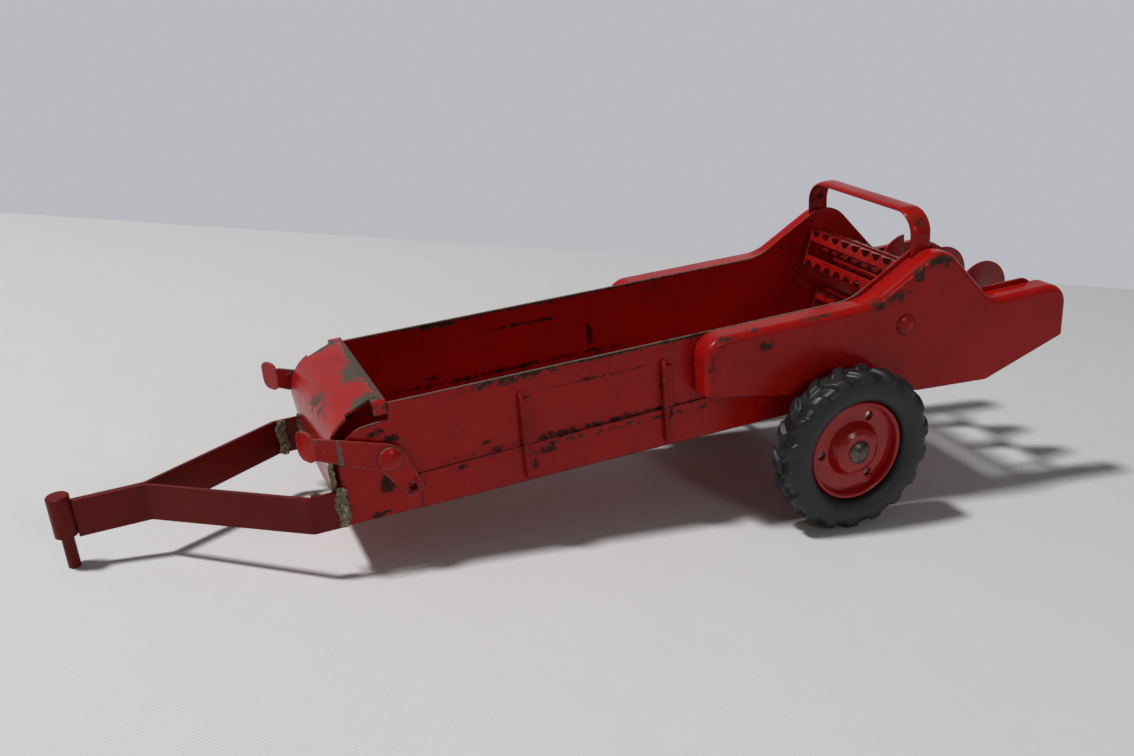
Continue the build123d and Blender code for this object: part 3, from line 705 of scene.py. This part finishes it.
# An egg: each axis is a half size times the cosine or sine of two angles, squared off by a power, and
# swollen by a sum of sines so that it looks run on by hand.
def seamSurface(middle, half, side):
    turn, rise = np.meshgrid(
        np.linspace(0, 2 * np.pi, braze["columns"], endpoint=False),
        np.linspace(-np.pi / 2, np.pi / 2, braze["rows"] + 2)[1:-1], indexing="xy")
    wide = np.abs(np.cos(turn)) ** braze["square"]
    deep = np.abs(np.sin(turn)) ** braze["square"]
    thin = np.abs(np.cos(rise)) ** braze["square"]
    lump = 1 - sum(share for share, *_ in braze["swell"])
    for share, waves, along in braze["swell"]:
        lump = lump + share * np.sin(waves * turn + along * rise)
    x = thin * np.sign(np.cos(turn)) * wide * lump + braze["waver"] * np.sin(6 * rise)
    y = thin * np.sign(np.sin(turn)) * deep * lump
    z = np.sign(rise) * np.abs(np.sin(rise)) ** braze["square"]
    points = np.stack([x * half[0], y * half[1], z * half[2]], axis=-1) + np.array(middle)
    points[..., 1] *= side
    points, faces = cappedTube(points)
    if side < 0:
        faces = [face[::-1] for face in faces]  # a mirrored shape would be inside out
    return toRow(points), faces


for name, (middle, half, side, stands) in braze["seams"].items():
    points, faces = seamSurface(middle, half, side)
    newPiece(name, points, faces, "frame", "braze", "braze", *([stands] if stands else []))
print("braze made")

# Floor cloth and backdrop, pale and plain
studio = {
    "floorColour": "#d9d8d8",
    "backColour": "#b9babf",
    "threadSize": 0.8,  # mm, drawn coarse enough to show
    "threadDepth": 0.16,  # mm
    "creaseDepth": 3.0,  # mm
    "airStrength": 0.12,
    "wallTowards": (-0.4, -0.92, -0.7),  # where gloss mirrors the pale wall
    "floorCorners": [(2.42, -1.78), (2.42, 1.5), (-2.69, 1.5), (-2.69, 1.01)],  # ends behind the toy
}


def studioMaterial(name, colour):
    material, tree, place = newMaterial(name)
    warp = addNode(tree, "ShaderNodeTexWave", {
        "Vector": place, "Scale": 0.31 / studio["threadSize"], "Distortion": 0.6, "Detail": 1.0},
        bands_direction="DIAGONAL").outputs[1]
    soft = addNode(tree, "ShaderNodeTexNoise", {"Vector": place, "Scale": 0.02, "Detail": 3.0}).outputs[0]
    creased = addNode(tree, "ShaderNodeBump", {
        "Height": soft, "Strength": 0.5, "Distance": studio["creaseDepth"] * mm}).outputs[0]
    threads = addNode(tree, "ShaderNodeBump", {
        "Height": warp, "Normal": creased, "Strength": 0.28,
        "Distance": studio["threadDepth"] * mm}).outputs[0]
    shader = addNode(tree, "ShaderNodeBsdfPrincipled", {
        "Base Color": hexLinear(colour), "Roughness": 0.9, "Normal": threads})
    addNode(tree, "ShaderNodeOutputMaterial", {"Surface": shader.outputs[0]})
    return material


# One flat face through four corners.
def stagePlane(name, corners, material):
    mesh = bpy.data.meshes.new(name)
    mesh.from_pydata(corners, [], [(0, 1, 2, 3)])
    mesh.materials.append(material)
    plane = bpy.data.objects.new(name, mesh)
    bpy.context.scene.collection.objects.link(plane)


stagePlane("floor_cloth", [(*corner, 0) for corner in studio["floorCorners"]],
           studioMaterial("woven_cloth", studio["floorColour"]))

# Lamps: the main one is high and leans to the hitch side, as the tyre's shadow shows
lamps = {
    "main": {"towards": (0.50, -0.06, 1.0), "distance": 2.2, "size": 0.26, "power": 38.0},
    "side": {"towards": (-0.2, 1.0, 0.45), "distance": 1.6, "size": 0.3, "power": 2.0},
}
target = Vector((0, 0, 0.03))
for name, lamp in lamps.items():
    direction = Vector(lamp["towards"]).normalized()
    data = bpy.data.lights.new("lamp_" + name, "AREA")
    data.shape = "DISK"
    data.size = lamp["size"]
    data.energy = lamp["power"]
    light = bpy.data.objects.new("lamp_" + name, data)
    light.location = target + direction * lamp["distance"]
    light.rotation_mode = "QUATERNION"
    light.rotation_quaternion = direction.to_track_quat("Z", "Y")
    bpy.context.scene.collection.objects.link(light)

world = bpy.data.worlds.new("studio_air")
world.use_nodes = True
bpy.context.scene.world = world
air = world.node_tree
air.nodes.clear()
path = addNode(air, "ShaderNodeLightPath")
direction = addNode(air, "ShaderNodeTexCoord").outputs["Generated"]
behind = addNode(air, "ShaderNodeVectorMath", {
    0: direction, 1: studio["wallTowards"]}, operation="DOT_PRODUCT").outputs["Value"]
wallSeen = addNode(air, "ShaderNodeMapRange", {
    "Value": behind, "From Min": 0.35, "From Max": 0.7}).outputs[0]
mirrored = addNode(air, "ShaderNodeMath", {
    0: path.outputs["Is Glossy Ray"], 1: path.outputs["Is Transmission Ray"]},
    operation="MAXIMUM").outputs[0]
mirrored = addNode(air, "ShaderNodeMath", {0: mirrored, 1: wallSeen}, operation="MULTIPLY").outputs[0]
seen = addNode(air, "ShaderNodeMath", {
    0: path.outputs["Is Camera Ray"], 1: mirrored}, operation="MAXIMUM").outputs[0]
dim = addNode(air, "ShaderNodeBackground", {
    "Color": (1, 1, 1, 1), "Strength": studio["airStrength"]})
pale = addNode(air, "ShaderNodeBackground", {"Color": hexLinear(studio["backColour"]), "Strength": 1.0})
mixed = addNode(air, "ShaderNodeMixShader", {0: seen, 1: dim.outputs[0], 2: pale.outputs[0]})
addNode(air, "ShaderNodeOutputWorld", {"Surface": mixed.outputs[0]})
print("stage and lamps made")

# Camera where the photograph was taken from
view = {
    "place": (0.1742, 0.3816, 0.20025),
    "forward": (-0.3749, -0.8626, -0.3398),
    "right": (-0.9224, 0.3837, 0.0436),
    "focalPixels": 1166.03,
    "widthPixels": 1134,
    "sensor": 36.0,
}
forward = Vector(view["forward"]).normalized()
right = Vector(view["right"])
right = (right - forward * right.dot(forward)).normalized()
up = right.cross(forward)
cameraData = bpy.data.cameras.new("camera")
cameraData.sensor_fit = "HORIZONTAL"
cameraData.sensor_width = view["sensor"]
cameraData.lens = view["sensor"] * view["focalPixels"] / view["widthPixels"]
cameraData.clip_start = 0.01
cameraData.clip_end = 100
camera = bpy.data.objects.new("camera", cameraData)
turned = Matrix((right, up, -forward)).transposed().to_4x4()
camera.matrix_world = Matrix.Translation(view["place"]) @ turned
bpy.context.scene.collection.objects.link(camera)
bpy.context.scene.camera = camera
bpy.context.scene.view_settings.view_transform = "Standard"
print("camera placed")
